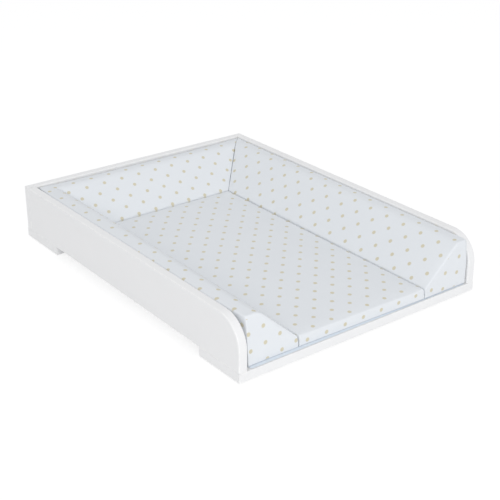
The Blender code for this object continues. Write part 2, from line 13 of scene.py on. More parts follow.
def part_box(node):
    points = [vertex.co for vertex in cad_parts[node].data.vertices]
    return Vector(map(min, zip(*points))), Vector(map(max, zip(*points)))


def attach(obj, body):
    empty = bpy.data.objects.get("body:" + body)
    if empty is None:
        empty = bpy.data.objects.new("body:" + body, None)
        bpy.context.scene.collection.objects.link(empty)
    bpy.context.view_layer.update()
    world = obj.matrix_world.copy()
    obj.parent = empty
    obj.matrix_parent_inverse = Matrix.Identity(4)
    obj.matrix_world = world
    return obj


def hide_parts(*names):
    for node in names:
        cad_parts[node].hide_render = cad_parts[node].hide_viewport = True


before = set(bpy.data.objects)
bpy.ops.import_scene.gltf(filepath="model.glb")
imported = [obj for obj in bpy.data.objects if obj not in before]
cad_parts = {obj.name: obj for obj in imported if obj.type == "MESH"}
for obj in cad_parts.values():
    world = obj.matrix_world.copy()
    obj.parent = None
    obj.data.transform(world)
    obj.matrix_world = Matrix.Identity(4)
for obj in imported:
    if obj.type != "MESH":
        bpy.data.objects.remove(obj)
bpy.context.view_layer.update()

# Tray
OVERALL_WIDTH = 0.580
FOOT_HEIGHT = 0.0023
BOARDS = ("base_board", "left_wall", "right_wall", "back_wall")

# Mat: its place and the sizes of its sections, as in the solids
MAT_PLACE = Vector((0.003, -0.3755, 0.0219))
MAT_WIDTH = 0.532
MAT_DEPTH = 0.7375
BOLSTER_WIDTH = 0.111
BOLSTER_HEIGHT = 0.0945
CREST_WIDTH = 0.029
CREST_BLEND = 0.008
SEAM_HEIGHT = 0.021
SEAM_GAP = 0.002
MITRE_GAP = 0.001
FRONT_LEAN = 0.006
SOFT_EDGE = 0.004
SHOULDER_RADIUS = 0.012
SHOULDER_LEAN = 0.002
PAD_CROWN = 0.004
BOLSTER_CROWN = 0.002
CORE_INSET = 0.0028
CORE_EDGE = 0.003

# Mat: where its film is fuller or crisper than the solids
FULL_SHOULDER = 0.005
SHOULDER_BLEND = 0.09
CORNER_EDGE = 0.003
MITRE_EDGE = 0.0012
MITRE_LEAN = 0.0003
SEAM_EDGE = 0.0025
SIDE_DRAW = 0.0002
WALL_LEAN = 0.0074
WALL_CORNER_LEAN = 0.0035
RIGHT_FRONT_REACH = 0.0055
RIGHT_FRONT_LEAN = 0.001

# Mat: sizes that follow from those above
PAD_WIDTH = MAT_WIDTH - 2 * (BOLSTER_WIDTH + SEAM_GAP)
PAD_DEPTH = MAT_DEPTH - BOLSTER_WIDTH - SEAM_GAP
SEAM_X = PAD_WIDTH / 2 + SEAM_GAP
SEAM_Y = PAD_DEPTH + SEAM_GAP
MITRE_CUT = MITRE_GAP / math.sqrt(2)
SIDE_LENGTH = SEAM_Y - MITRE_CUT
REAR_LENGTH = 2 * (SEAM_X - MITRE_CUT)
SLOPE_RUN = BOLSTER_WIDTH - CREST_WIDTH
SLOPE_RISE = BOLSTER_HEIGHT - SEAM_HEIGHT
SLOPE_STRETCH = math.hypot(SLOPE_RUN, SLOPE_RISE) / SLOPE_RUN

# Backing sheet: its hem is given as (distance in from the sheet's edge, height)
BACKING_DROP = 0.0012
BACKING_CORNER = 0.006
BACKING_CORNER_STEPS = 6
BACKING_FLANGE = 0.007
HEM = ((0, 0.0002), (0.0003, 0.00055), (0.0010, 0.0006), (0.0016, 0.00035), (0.0026, 0.00035),
       (0.0032, 0.0006), (0.0040, 0.0006))

# Film and foam: how finely they are meshed
FILM_STEP = 0.007
FOAM_STEP = 0.03
EDGE_STEPS = 4
BOLSTER_SKIRT_ROWS = 9
PAD_SKIRT_ROWS = 3
FOAM_SKIRT_ROWS = 2

# Film: how the foam's push fills it out, and how the weld puckers it
PRESSURE = 4.0
CLOTH_FRAMES = 20
WELD_HEIGHT = 0.0005
SWELL = 0.0016
SIDE_SWELL = 0.0004
PUCKER_DEPTH = 0.0005
PUCKER_REACH = 0.014
PUCKER_LENGTH = 0.018

# Print: the pattern, and where one of its dots falls on each face, with the pattern's turn in degrees
DOT_PITCH_ACROSS = 0.0442
DOT_PITCH_ALONG = 0.0490
DOT_RADIUS = 0.0040
DOT_WAVER = 0.0003
PRINT_BLUR = 0.0010

# On the pad by X and Y
PAD_DOT = (0.0217, 0.0280)
PAD_TURN = 0.2

# On a slope by the way over the film from the seam, and by Y or, at the rear, by X
RIGHT_SLOPE_DOT = (-0.0033, 0.0304)
RIGHT_SLOPE_TURN = -1.7
LEFT_SLOPE_DOT = (0.1167, -0.3588)
LEFT_SLOPE_TURN = 1.7
REAR_SLOPE_DOT = (0.0264, 0.0259)
REAR_SLOPE_TURN = 90
REAR_GATHER = 1.072

# On a front end by the distance from the seam and the height
RIGHT_FRONT_DOT = (0.053, 0.0385)
RIGHT_FRONT_TURN = 35
LEFT_FRONT_DOT = (0.0730, 0.0339)
LEFT_FRONT_TURN = 36

# Colours: a pair holds the two tones that a finish drifts between
FILM_GROUND = ((0.758, 0.786, 0.818, 1), (0.788, 0.814, 0.842, 1))
FILM_INK = ((0.62, 0.575, 0.43, 1), (0.68, 0.63, 0.48, 1))
LACQUER = ((0.830, 0.832, 0.838, 1), (0.865, 0.866, 0.870, 1))
# painted highlight: the lighter lacquer tone laid on the boards' edges
EDGE_HIGHLIGHT_LACQUER = (0.90, 0.90, 0.895, 1)
ZINC = ((0.54, 0.55, 0.56, 1), (0.68, 0.68, 0.66, 1))
CAP_PLASTIC = ((0.80, 0.80, 0.79, 1), (0.86, 0.86, 0.855, 1))
BEECH = ((0.50, 0.33, 0.18, 1), (0.70, 0.50, 0.31, 1))
BEECH_FLECK = (0.36, 0.21, 0.11, 1)
RUBBER = ((0.030, 0.030, 0.033, 1), (0.075, 0.073, 0.070, 1))
BACKING_BLUE = ((0.72, 0.79, 0.87, 1), (0.76, 0.82, 0.89, 1))
# the darker foam tone is painted shade in the pores, the lighter one the foam on its cells
FOAM_YELLOW = ((0.62, 0.55, 0.36, 1), (0.86, 0.80, 0.60, 1))
WHITE = (1, 1, 1, 1)
FLOOR_GREY = (0.90, 0.90, 0.90, 1)
SEEN_FLOOR_GREY = (0.30, 0.30, 0.30, 1)
SKY = (0.985, 0.99, 1.0, 1)

# Floor and light: a softbox is its place, its width and height, and its power in watts
FLOOR_REACH = 7
FLOOR_GAP = 0.0002
FLOOR_GLOW = 0.77
SKY_STRENGTH = 0.722
LIT_SPOT = (0, 0, 0.06)
SOFTBOXES = {
    "front_softbox": ((-2.11, -3.97, 1.97), (2.8, 1.6), 76),
    "top_softbox": ((-0.3, 0.2, 2.4), (1.6, 1.6), 3),
}

# Camera: its turns in degrees, and its place to its own right, up and back as shares of the tray's width
CAMERA_AZIMUTH = -37.59
CAMERA_ELEVATION = 25.114
CAMERA_ROLL = 0.191
CAMERA_PLACE_SHARES = (0.039, 0.0387, 3.9383)
FOCAL_LENGTH_MM = 78.53
SENSOR_WIDTH_MM = 36
CLIP_START = 0.05
CLIP_END = 40


# Mesh helpers

def new_object(name, bm, material):
    mesh = bpy.data.meshes.new(name)
    bm.to_mesh(mesh)
    bm.free()
    mesh.shade_smooth()
    mesh.materials.append(material)
    piece = bpy.data.objects.new(name, mesh)
    bpy.context.scene.collection.objects.link(piece)
    return piece


def even_steps(start, end, count):
    return [start + (end - start) * step / count for step in range(count + 1)]


# Print

class Print:
    """Where the polka dots fall on one face: a dot's place, and how the pattern is turned and gathered."""

    def __init__(self, across, along, turn=0, gather=1.0):
        self.dot, self.gather = Vector((across, along)), gather
        self.turn = Matrix.Rotation(math.radians(-turn), 2)

    def place(self, across, along):
        return self.turn @ Vector(((across - self.dot.x) * self.gather, along - self.dot.y))


class Prints(NamedTuple):
    """The prints of a cover: one runs over its top and down its sides, and a front end can have its own."""

    top: Print | None = None
    start: Print | None = None
    end: Print | None = None


# Cushions

def wedge_top(width, height, seam_height, crest):
    """The height of a wedge's top over its width: a slope up from the seam, rounded into a flat crest."""
    slope_end = width - crest
    rise = (height - seam_height) / slope_end

    def top(across):
        before_bend = slope_end + CREST_BLEND - across
        if before_bend >= 2 * CREST_BLEND:
            return seam_height + rise * across
        return height - rise * max(before_bend, 0) ** 2 / (4 * CREST_BLEND)

    return top


def soft_stations(length, low_edge, high_edge, step):
    """Places along a cushion, closer together round its soft edges, with how far round each of them lies."""
    shares = [math.cos(math.pi / 2 * turn / EDGE_STEPS) for turn in range(EDGE_STEPS)]
    low = [(low_edge * (1 - share), -share) for share in shares]
    high = [(length - high_edge * (1 - share), share) for share in reversed(shares)]
    middle = even_steps(low_edge, length - high_edge, max(1, round((length - low_edge - high_edge) / step)))
    return low + [(place, 0) for place in middle] + high


class End(NamedTuple):
    """One end of a cushion, and the corner where it meets the outer side.

    The end lies further out by its mitre per step across, leans back by its lean at full height, and has an
    edge of its own radius. The outer side's edge and lean change to the corner's, where these are given.
    """

    mitre: float
    lean: float
    edge: float
    corner_edge: float | None = None
    corner_lean: float | None = None


MITRED_END = End(1, MITRE_LEAN, MITRE_EDGE, CORNER_EDGE)


class Cushion:
    """A padded section with soft upper edges: a strip that may be mitred at its ends, in the mat's own frame.

    Its points are named by how far they lie across the strip, from the seam side, and along it. Its edges are
    the radii at its seam side and at its outer side, which leans out. Its crown is how far the middle of its
    top rises, and its draw is how far the middles of its sides are drawn in. Its stretch is that of the film
    on its slope.
    """

    def __init__(self, width, length, top, edges, ends, lean=0, crown=0, draw=0, stretch=1.0,
                 prints=Prints()):
        self.width, self.length, self.top, self.stretch = width, length, top, stretch
        self.seam_edge, self.outer_edge = edges
        self.corner_edges = [self.outer_edge if end.corner_edge is None else end.corner_edge for end in ends]
        self.corner_leans = [lean if end.corner_lean is None else end.corner_lean for end in ends]
        self.crown, self.draw, self.lean, self.ends, self.prints = crown, draw, lean, ends, prints

    def eased(self, middle, corners, along):
        """What holds over the middle of the outer side, changing to what holds at its two corners."""
        value = middle
        for corner, distance in zip(corners, (along, self.length - along)):
            value += (corner - middle) * max(0, 1 - distance / SHOULDER_BLEND) ** 2
        return value

    def off_middle(self, across, along):
        return 2 * across / self.width - 1, 2 * along / self.length - 1

    def plan(self, across, along, height):
        """Plan place of a point: the sides drawn in at their middles, the ends mitred and leaning back."""
        off_across, off_along = self.off_middle(across, along)
        share_up = height / self.top(self.width)
        drawn_across = across - self.draw * off_across * (1 - off_along ** 2)
        drawn_across += self.eased(self.lean, self.corner_leans, along) * share_up * across / self.width
        drawn_along = along - self.draw * off_along * (1 - off_across ** 2)
        low_end, high_end = self.ends
        start = low_end.lean * share_up - low_end.mitre * drawn_across
        end = self.length - high_end.lean * share_up + high_end.mitre * drawn_across
        return drawn_across, start + (end - start) * drawn_along / self.length

    def skin(self, across_station, along_station):
        """A point of the upper skin, where the soft edges meet in a ball at each corner."""
        (across, a), (along, b) = across_station, along_station
        round_a = a * math.sqrt(1 - b * b / 2)
        round_b = b * math.sqrt(1 - a * a / 2)
        side_edge = self.seam_edge
        if a > 0:
            side_edge = self.eased(self.outer_edge, self.corner_edges, along)
            across = self.width - side_edge * (1 - a)
        end_edge = self.ends[1 if b > 0 else 0].edge
        across += side_edge * (round_a - a)
        along += end_edge * (round_b - b)
        reach = min(1, math.hypot(round_a, round_b))
        edge = (side_edge * a * a + end_edge * b * b) / max(a * a + b * b, 1)
        off_across, off_along = self.off_middle(across, along)
        height = self.top(across) - edge * (1 - math.sqrt(1 - reach * reach))
        return across, along, height + self.crown * (1 - off_across ** 2) * (1 - off_along ** 2)

    def unrolled(self, across):
        """Distance over the film from the seam side: the slope is longer than its plan, the crest is not."""
        slope_end = self.width - CREST_WIDTH
        return min(across, slope_end) * self.stretch + max(across - slope_end, 0)

    def flattened(self, across_fall=0, along_fall=0):
        """How a point is laid flat on the film: over the top as it lies, down a side by how far it hangs."""
        def on_film(across, along, height):
            drop = self.top(across) - height
            return self.unrolled(across) + across_fall * drop, along + along_fall * drop
        return on_film

    def side_print(self, first, second, last_row):
        """The print on a side below two neighbouring points of the rim, and how that side is laid flat."""
        (first_column, first_row), (second_column, second_row) = first, second
        for row, fall, own_print in ((0, -1, self.prints.start), (last_row, 1, self.prints.end)):
            if first_row == second_row == row:
                if own_print:
                    return own_print, lambda across, along, height: (across, height)
                return self.prints.top, self.flattened(along_fall=fall)
        return self.prints.top, self.flattened(across_fall=-1 if first_column == second_column == 0 else 1)

    def build(self, name, step, skirt_rows, material, place):
        """The closed form, its film laid flat as a UV map named film; place carries it into the object."""
        bm = bmesh.new()
        film = bm.loops.layers.uv.new("film")

        def add_vertex(across, along, height):
            return bm.verts.new((*self.plan(across, along, height), height))

        def add_face(corners, face_print, on_film):
            face = bm.faces.new(corners)
            if face_print:
                for loop in face.loops:
                    loop[film].uv = face_print.place(*on_film(*loop.vert.co))

        columns = soft_stations(self.width, self.seam_edge, self.outer_edge, step)
        rows = soft_stations(self.length, self.ends[0].edge, self.ends[1].edge, step)
        last_i, last_j = len(columns) - 1, len(rows) - 1
        cells = [((i, j), (i + 1, j), (i + 1, j + 1), (i, j + 1))
                 for i in range(last_i) for j in range(last_j)]
        skin = {}
        for i, column in enumerate(columns):
            for j, row in enumerate(rows):
                skin[i, j] = add_vertex(*self.skin(column, row))
        for cell in cells:
            add_face([skin[spot] for spot in cell], self.prints.top, self.flattened())

        rim = [(i, 0) for i in range(last_i)] + [(last_i, j) for j in range(last_j)]
        rim += [(i, last_j) for i in range(last_i, 0, -1)] + [(0, j) for j in range(last_j, 0, -1)]
        above = [skin[spot] for spot in rim]
        for share in even_steps(1, 0, skirt_rows)[1:]:
            below = []
            squared = min(1, 2 * (1 - share))
            for i, j in rim:
                across, along, height = self.skin(columns[i], rows[j])
                across += (columns[i][0] - across) * squared
                along += (rows[j][0] - along) * squared
                below.append(add_vertex(across, along, height * share))
            for index in range(len(rim)):
                corners = above[index - 1], below[index - 1], below[index], above[index]
                add_face(corners, *self.side_print(rim[index - 1], rim[index], last_j))
            above = below

        foot = dict(zip(rim, above))
        for i in range(1, last_i):
            for j in range(1, last_j):
                foot[i, j] = add_vertex(columns[i][0], rows[j][0], 0)
        for first, *others in cells:
            add_face([foot[spot] for spot in (first, *reversed(others))], self.prints.top, self.flattened())
        bmesh.ops.transform(bm, matrix=place, verts=bm.verts)
        bm.normal_update()
        return new_object(name, bm, material)


# Film

def filled_out(cushion):
    """Where the points of the film come to lie under the foam's push, with its welded foot pinned."""
    welded = cushion.vertex_groups.new(name="welded")
    at_foot = [spot.index for spot in cushion.data.vertices if spot.co.z < MAT_PLACE.z + WELD_HEIGHT]
    welded.add(at_foot, 1, "REPLACE")
    cloth = cushion.modifiers.new("film", "CLOTH")
    settings = cloth.settings
    settings.quality = 6
    settings.mass = 0.25
    settings.tension_stiffness = settings.compression_stiffness = 30
    settings.shear_stiffness = 15
    settings.bending_stiffness = 2
    settings.use_pressure = True
    settings.uniform_pressure_force = PRESSURE
    settings.vertex_group_mass = "welded"
    settings.shrink_min = -0.012
    settings.effector_weights.gravity = 0
    cloth.collision_settings.use_collision = False
    cloth.point_cache.frame_start, cloth.point_cache.frame_end = 1, CLOTH_FRAMES
    scene = bpy.context.scene
    for step in range(1, CLOTH_FRAMES + 1):
        scene.frame_set(step)
    shown = cushion.evaluated_get(bpy.context.evaluated_depsgraph_get())
    places = [spot.co.copy() for spot in shown.data.vertices]
    cushion.modifiers.remove(cloth)
    scene.frame_set(1)
    return places


def soft_cap(move, limit):
    """A move shortened smoothly so that it never passes its limit."""
    length = move.length
    return move * (limit / (limit + length)) if length else move


def swell(cushion):
    """Lets the film fill out under the foam's push, then keeps it within reach of the cut shape."""
    cut = [(spot.co.copy(), spot.normal.copy()) for spot in cushion.data.vertices]
    swollen = filled_out(cushion)
    for spot, (start, normal), end in zip(cushion.data.vertices, cut, swollen):
        facing_up = max(0, normal.z)
        limit = SIDE_SWELL + (SWELL - SIDE_SWELL) * facing_up
        above_weld = start.z - MAT_PLACE.z
        pucker = noise.noise(start / PUCKER_LENGTH) * PUCKER_DEPTH * math.exp(-above_weld / PUCKER_REACH)
        spot.co = start + soft_cap(end - start, limit) + normal * (pucker * facing_up)
    cushion.data.update()


def subdivide(piece):
    smooth = piece.modifiers.new("smooth", "SUBSURF")
    smooth.levels = smooth.render_levels = 1
    smooth.boundary_smooth = "PRESERVE_CORNERS"


# Mat

def add_section(name, cover, core, place, core_offset, skirt_rows, film, foam):
    """A section of the mat: its foam block, and the film cover round it."""
    block = core.build(f"{name}_foam", FOAM_STEP, FOAM_SKIRT_ROWS, foam,
                       place @ Matrix.Translation(core_offset))
    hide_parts(f"{name}_core")
    cushion = cover.build(f"{name}_film", FILM_STEP, skirt_rows, film, place)
    swell(cushion)
    subdivide(cushion)
    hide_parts(f"{name}_cover")
    for piece in (block, cushion):
        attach(piece, "mat")


def build_pad(film, foam):
    """The flat centre pad, whose front edge reaches further forward towards the right."""
    place = Matrix.Translation(MAT_PLACE + Vector((-PAD_WIDTH / 2, 0, 0)))
    dot = Vector(PAD_DOT) - Vector(place.translation[:2])
    ends = End(RIGHT_FRONT_REACH / PAD_WIDTH, 0, SOFT_EDGE), End(0, 0, SEAM_EDGE)
    cover = Cushion(PAD_WIDTH, PAD_DEPTH, lambda across: SEAM_HEIGHT, (SEAM_EDGE, SEAM_EDGE), ends,
                    crown=PAD_CROWN, draw=SIDE_DRAW, prints=Prints(Print(dot.x, dot.y, PAD_TURN)))
    core = Cushion(PAD_WIDTH - 2 * CORE_INSET, PAD_DEPTH - 2 * CORE_INSET,
                   lambda across: SEAM_HEIGHT - CORE_INSET, (CORE_EDGE, CORE_EDGE),
                   [End(0, 0, CORE_EDGE)] * 2)
    add_section("pad", cover, core, place, (CORE_INSET, CORE_INSET, 0), PAD_SKIRT_ROWS, film, foam)


def build_bolster(name, length, ends, shoulder, lean, prints, origin, turn, film, foam):
    """A wedge bolster, from its seam with the pad up its slope to the crest along the wall."""
    top = wedge_top(BOLSTER_WIDTH, BOLSTER_HEIGHT, SEAM_HEIGHT, CREST_WIDTH)
    cover = Cushion(BOLSTER_WIDTH, length, top, (SEAM_EDGE, shoulder), ends, lean, BOLSTER_CROWN, SIDE_DRAW,
                    SLOPE_STRETCH, prints)
    slope = math.atan2(SLOPE_RISE, SLOPE_RUN)
    core_width, core_height = BOLSTER_WIDTH - 2 * CORE_INSET, BOLSTER_HEIGHT - CORE_INSET
    core_seam_height = SEAM_HEIGHT + CORE_INSET * math.tan(slope) - CORE_INSET / math.cos(slope)
    core_top = wedge_top(core_width, core_height, core_seam_height, CREST_WIDTH - CORE_INSET)
    start_inset, end_inset = [CORE_INSET * (math.hypot(1, end.mitre) - end.mitre) for end in ends]
    core = Cushion(core_width, length - start_inset - end_inset, core_top,
                   (CORE_EDGE, SHOULDER_RADIUS - CORE_INSET),
                   [End(end.mitre, end.lean, CORE_EDGE) for end in ends], SHOULDER_LEAN)
    place = Matrix.Translation(MAT_PLACE + Vector(origin)) @ Matrix.Rotation(turn, 4, "Z")
    add_section(name, cover, core, place, (CORE_INSET, start_inset, 0), BOLSTER_SKIRT_ROWS, film, foam)


def build_right_bolster(film, foam):
    across, y = RIGHT_SLOPE_DOT
    slope_print = Print(across, RIGHT_FRONT_REACH + y - MAT_PLACE.y, RIGHT_SLOPE_TURN)
    prints = Prints(slope_print, start=Print(*RIGHT_FRONT_DOT, RIGHT_FRONT_TURN))
    front_end = End(0, RIGHT_FRONT_LEAN, SOFT_EDGE, SHOULDER_RADIUS)
    build_bolster("right_bolster", SIDE_LENGTH + RIGHT_FRONT_REACH, (front_end, MITRED_END), FULL_SHOULDER,
                  SHOULDER_LEAN, prints, (SEAM_X, -RIGHT_FRONT_REACH, 0), 0, film, foam)


def build_left_bolster(film, foam):
    """The left bolster, which leans out to its wall over its middle."""
    across, y = LEFT_SLOPE_DOT
    slope_print = Print(across, SIDE_LENGTH - y + MAT_PLACE.y, LEFT_SLOPE_TURN)
    prints = Prints(slope_print, end=Print(*LEFT_FRONT_DOT, LEFT_FRONT_TURN))
    rear_end = MITRED_END._replace(corner_lean=WALL_CORNER_LEAN)
    front_end = End(0, FRONT_LEAN, SOFT_EDGE, CORNER_EDGE, SHOULDER_LEAN)
    build_bolster("left_bolster", SIDE_LENGTH, (rear_end, front_end), FULL_SHOULDER, WALL_LEAN, prints,
                  (-SEAM_X, SIDE_LENGTH, 0), math.pi, film, foam)


def build_rear_bolster(film, foam):
    across, x = REAR_SLOPE_DOT
    prints = Prints(Print(across, REAR_LENGTH / 2 - x + MAT_PLACE.x, REAR_SLOPE_TURN, REAR_GATHER))
    build_bolster("rear_bolster", REAR_LENGTH, (MITRED_END, MITRED_END), SHOULDER_RADIUS, SHOULDER_LEAN,
                  prints, (REAR_LENGTH / 2, SEAM_Y, 0), math.pi / 2, film, foam)


def build_backing(material):
    """The backing sheet, laid flat under the whole mat, with a welded hem round its edge."""
    bm = bmesh.new()
    right = MAT_WIDTH / 2 - BACKING_CORNER
    front, back = BACKING_CORNER - BACKING_FLANGE, MAT_DEPTH - BACKING_CORNER
    corners = ((right, front, -90), (right, back, 0), (-right, back, 90), (-right, front, 180))

    def loop_at(inset, height):
        loop = []
        for x, y, start in corners:
            for turn in even_steps(start, start + 90, BACKING_CORNER_STEPS):
                outwards = Vector((math.cos(math.radians(turn)), math.sin(math.radians(turn))))
                spot = Vector((x, y)) + outwards * (BACKING_CORNER - inset)
                loop.append(bm.verts.new((spot.x, spot.y, height)))
        return loop

    loops = [loop_at(inset, height) for inset, height in HEM]
    for outer, inner in zip(loops, loops[1:]):
        for index in range(len(outer)):
            bm.faces.new((outer[index - 1], outer[index], inner[index], inner[index - 1]))
    bm.faces.new(loops[-1])
    bmesh.ops.translate(bm, verts=bm.verts, vec=MAT_PLACE - Vector((0, 0, BACKING_DROP)))
    bm.normal_update()
    sheet = new_object("backing_sheet", bm, material)
    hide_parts("mat_backing")
    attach(sheet, "mat")


# Node helpers

# The colour sockets of a Mix node, which share their names with its sockets of other kinds
MIX_FIRST = 6
MIX_SECOND = 7
MIX_RESULT = 2


def put(tree, value, socket):
    """Sets a socket, or links it where the value is another node's output."""
    if isinstance(value, bpy.types.NodeSocket):
        tree.links.new(value, socket)
    else:
        socket.default_value = value


def add_node(tree, kind, values=None, **settings):
    made = tree.nodes.new(kind)
    for name, value in settings.items():
        setattr(made, name, value)
    for socket, value in (values or {}).items():
        put(tree, value, made.inputs[socket])
    return made


def calc(tree, operation, *values):
    return add_node(tree, "ShaderNodeMath", dict(enumerate(values)), operation=operation).outputs[0]


def calc_vector(tree, operation, *values):
    return add_node(tree, "ShaderNodeVectorMath", dict(enumerate(values)), operation=operation).outputs[0]


def between(tree, share, low, high):
    """A value that goes from low to high as the share goes from 0 to 1."""
    values = {"Value": share, "To Min": low, "To Max": high}
    return add_node(tree, "ShaderNodeMapRange", values).outputs["Result"]


def step_at(tree, value, start, end):
    """A mask that turns smoothly from 0 at the start to 1 at the end."""
    values = {"Value": value, "From Min": start, "From Max": end}
    made = add_node(tree, "ShaderNodeMapRange", values, interpolation_type="SMOOTHSTEP")
    return made.outputs["Result"]


def blend_colours(tree, share, first, second):
    values = {"Factor": share, MIX_FIRST: first, MIX_SECOND: second}
    return add_node(tree, "ShaderNodeMix", values, data_type="RGBA").outputs[MIX_RESULT]


def noise_of(tree, place, size, detail=2.0, output="Fac"):
    values = {"Vector": place, "Scale": calc(tree, "DIVIDE", 1.0, size), "Detail": detail}
    return add_node(tree, "ShaderNodeTexNoise", values).outputs[output]


def new_group(name, inputs, outputs):
    """A node group with the named sockets; inputs hold (name, kind, value)."""
    tree = bpy.data.node_groups.new(name, "ShaderNodeTree")
    for socket, kind, value in inputs:
        made = tree.interface.new_socket(socket, in_out="INPUT", socket_type=f"NodeSocket{kind}")
        if value is not None:
            made.default_value = value
    for socket, kind in outputs:
        tree.interface.new_socket(socket, in_out="OUTPUT", socket_type=f"NodeSocket{kind}")
    return tree, tree.nodes.new("NodeGroupInput").outputs, tree.nodes.new("NodeGroupOutput").inputs


def use_group(tree, group, values):
    made = tree.nodes.new("ShaderNodeGroup")
    made.node_tree = group
    for socket, value in values.items():
        put(tree, value, made.inputs[socket])
    return made.outputs


# Surface effects that several materials share, or that stand by themselves

def polka_dots_group():
    """Round dots on two interleaved rows, printed on film that is laid out flat."""
    tree, given, made = new_group(
        "polka_dots",
        [("Film Place", "Vector", None), ("Pitch Across", "Float", 0.04), ("Pitch Along", "Float", 0.05),
         ("Dot Radius", "Float", 0.004), ("Print Blur", "Float", 0.0004)],
        [("Dot", "Float")],
    )
    axes = add_node(tree, "ShaderNodeSeparateXYZ", {0: given["Film Place"]}).outputs
    distances = []
    for shift in (0.5, 0.0):
        legs = []
        for axis, pitch in ((axes[0], given["Pitch Across"]), (axes[1], given["Pitch Along"])):
            repeats = calc(tree, "ADD", calc(tree, "DIVIDE", axis, pitch), shift)
            leg = calc(tree, "MULTIPLY", calc(tree, "SUBTRACT", calc(tree, "FRACT", repeats), 0.5), pitch)
            legs.append(calc(tree, "MULTIPLY", leg, leg))
        distances.append(calc(tree, "SQRT", calc(tree, "ADD", *legs)))
    nearest = calc(tree, "MINIMUM", *distances)
    unevenness = calc(tree, "SUBTRACT", noise_of(tree, given["Film Place"], size=0.004, detail=1.0), 0.5)
    edge = calc(tree, "ADD", given["Dot Radius"], calc(tree, "MULTIPLY", unevenness, DOT_WAVER))
    inner = calc(tree, "SUBTRACT", edge, given["Print Blur"])
    outer = calc(tree, "ADD", edge, given["Print Blur"])
    put(tree, calc(tree, "SUBTRACT", 1.0, step_at(tree, nearest, inner, outer)), made["Dot"])
    return tree


def fine_grain_group():
    """Pebbled grain of embossed film, moulded plastic, rubber or foam."""
    tree, given, made = new_group(
        "fine_grain",
        [("Place", "Vector", None), ("Grain Size", "Float", 0.001), ("Unevenness", "Float", 0.4)],
        [("Height", "Float"), ("Tone", "Float")],
    )

    def grains(count):
        return calc(tree, "MULTIPLY", given["Grain Size"], count)

    drift = noise_of(tree, given["Place"], grains(3.0), output="Color")
    pull = add_node(tree, "ShaderNodeVectorMath", {0: drift, "Scale": grains(0.6)}, operation="SCALE")
    bent = calc_vector(tree, "ADD", given["Place"], pull.outputs[0])
    scale = calc(tree, "DIVIDE", 1.0, given["Grain Size"])
    cells = add_node(tree, "ShaderNodeTexVoronoi", {"Vector": bent, "Scale": scale}, feature="SMOOTH_F1")
    pebbles = calc(tree, "SUBTRACT", 1.0, cells.outputs["Distance"])
    coarse = noise_of(tree, given["Place"], grains(6.0), detail=3.0)
    uneven = calc(tree, "MULTIPLY", coarse, given["Unevenness"])
    put(tree, calc(tree, "ADD", pebbles, uneven), made["Height"])
    put(tree, coarse, made["Tone"])
    return tree


def handling_marks_group():
    """Faint smears and cloudy patches left by hands and wiping."""
    tree, given, made = new_group(
        "handling_marks",
        [("Place", "Vector", None), ("Patch Size", "Float", 0.1)],
        [("Patches", "Float"), ("Smears", "Float")],
    )
    patches = noise_of(tree, given["Place"], given["Patch Size"], detail=4.0)
    stretched = calc_vector(tree, "MULTIPLY", given["Place"], (1.0, 0.22, 0.6))
    smears = noise_of(tree, stretched, calc(tree, "MULTIPLY", given["Patch Size"], 0.12), detail=3.0)
    put(tree, patches, made["Patches"])
    put(tree, step_at(tree, smears, start=0.45, end=0.75), made["Smears"])
    return tree


def edge_highlight_group():
    """Where two faces of a squared piece meet: the strip, broken up by noise, that carries a painted highlight.
    """
    tree, given, made = new_group(
        "edge_highlight",
        [("Place", "Vector", None), ("Low Corner", "Vector", (0, 0, 0)), ("High Corner", "Vector", (1, 1, 1)),
         ("Reach", "Float", 0.003)],
        [("Edge Highlight", "Float")],
    )
    inside = calc_vector(tree, "MINIMUM", calc_vector(tree, "SUBTRACT", given["Place"], given["Low Corner"]),
                         calc_vector(tree, "SUBTRACT", given["High Corner"], given["Place"]))
    x, y, z = add_node(tree, "ShaderNodeSeparateXYZ", {0: inside}).outputs
    nearer, further = calc(tree, "MINIMUM", x, y), calc(tree, "MAXIMUM", x, y)
    second = calc(tree, "MAXIMUM", nearer, calc(tree, "MINIMUM", further, z))
    edge = calc(tree, "SUBTRACT", 1.0, step_at(tree, second, 0.0, given["Reach"]))
    broken = step_at(tree, noise_of(tree, given["Place"], size=0.012, detail=4.0), start=0.42, end=0.62)
    put(tree, calc(tree, "MULTIPLY", edge, broken), made["Edge Highlight"])
    return tree


# Materials

class Finish:
    """A material under way: its node tree, its shader, and the place that its texture follows."""

    def __init__(self, name, on_film=False, **shader_values):
        self.material = bpy.data.materials.new(name)
        self.material.use_nodes = True
        self.tree = self.material.node_tree
        self.shader = self.tree.nodes["Principled BSDF"]
        for socket, value in shader_values.items():
            self.shader.inputs[socket.replace("_", " ")].default_value = value
        if on_film:
            self.place = add_node(self.tree, "ShaderNodeUVMap", uv_map="film").outputs["UV"]
        else:
            self.place = self.tree.nodes.new("ShaderNodeTexCoord").outputs["Object"]

    def colour(self, value):
        put(self.tree, value, self.shader.inputs["Base Color"])

    def roughness(self, value):
        put(self.tree, value, self.shader.inputs["Roughness"])

    def bump(self, height, distance, strength, under=None):
        values = {"Height": height, "Distance": distance, "Strength": strength}
        if under is not None:
            values["Normal"] = under
        made = add_node(self.tree, "ShaderNodeBump", values)
        put(self.tree, made.outputs["Normal"], self.shader.inputs["Normal"])
        return made.outputs["Normal"]


